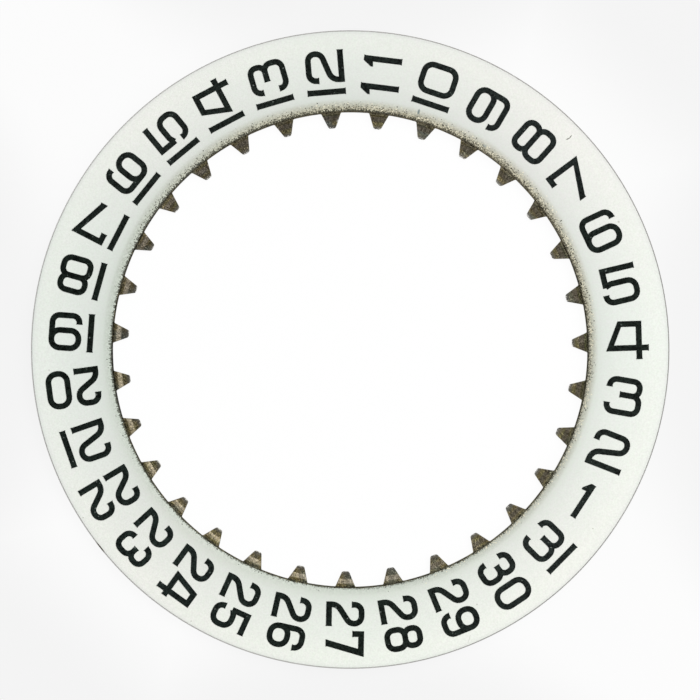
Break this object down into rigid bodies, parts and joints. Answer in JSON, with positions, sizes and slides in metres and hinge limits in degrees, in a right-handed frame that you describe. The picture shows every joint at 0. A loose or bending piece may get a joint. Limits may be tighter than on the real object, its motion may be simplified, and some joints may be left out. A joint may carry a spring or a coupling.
{
  "type": "watch date disc",
  "caption": "Flat ring with internal teeth on a lower step and a white band printed with the dates, which turns under a watch dial.",
  "frame": {"origin": "on the disc's axis, at the bottom face of the foot ring", "axes": "+Z along the axis, out of the printed face; +X through the middle of the tooth beside figure 4; the dates run counter-clockwise about +Z"},
  "size_m": [0.0228, 0.0228, 0.0004],
  "materials": {
    "nickel_plated_brass": "turned, nickel plated, slightly tarnished",
    "white_lacquer": "satin white lacquer, faintly green",
    "black_ink": "pad printed black ink"
  },
  "bodies": {
    "root": {"toothed_ring": "nickel_plated_brass", "lacquer_coat": "white_lacquer", "date_01": "black_ink", "date_02": "black_ink", "date_03": "black_ink", "date_04": "black_ink", "date_05": "black_ink", "date_06": "black_ink", "date_07": "black_ink", "date_08": "black_ink", "date_09": "black_ink", "date_10": "black_ink", "date_11": "black_ink", "date_12": "black_ink", "date_13": "black_ink", "date_14": "black_ink", "date_15": "black_ink", "date_16": "black_ink", "date_17": "black_ink", "date_18": "black_ink", "date_19": "black_ink", "date_20": "black_ink", "date_21": "black_ink", "date_22": "black_ink", "date_23": "black_ink", "date_24": "black_ink", "date_25": "black_ink", "date_26": "black_ink", "date_27": "black_ink", "date_28": "black_ink", "date_29": "black_ink", "date_30": "black_ink", "date_31": "black_ink"}
  },
  "joints": []
}
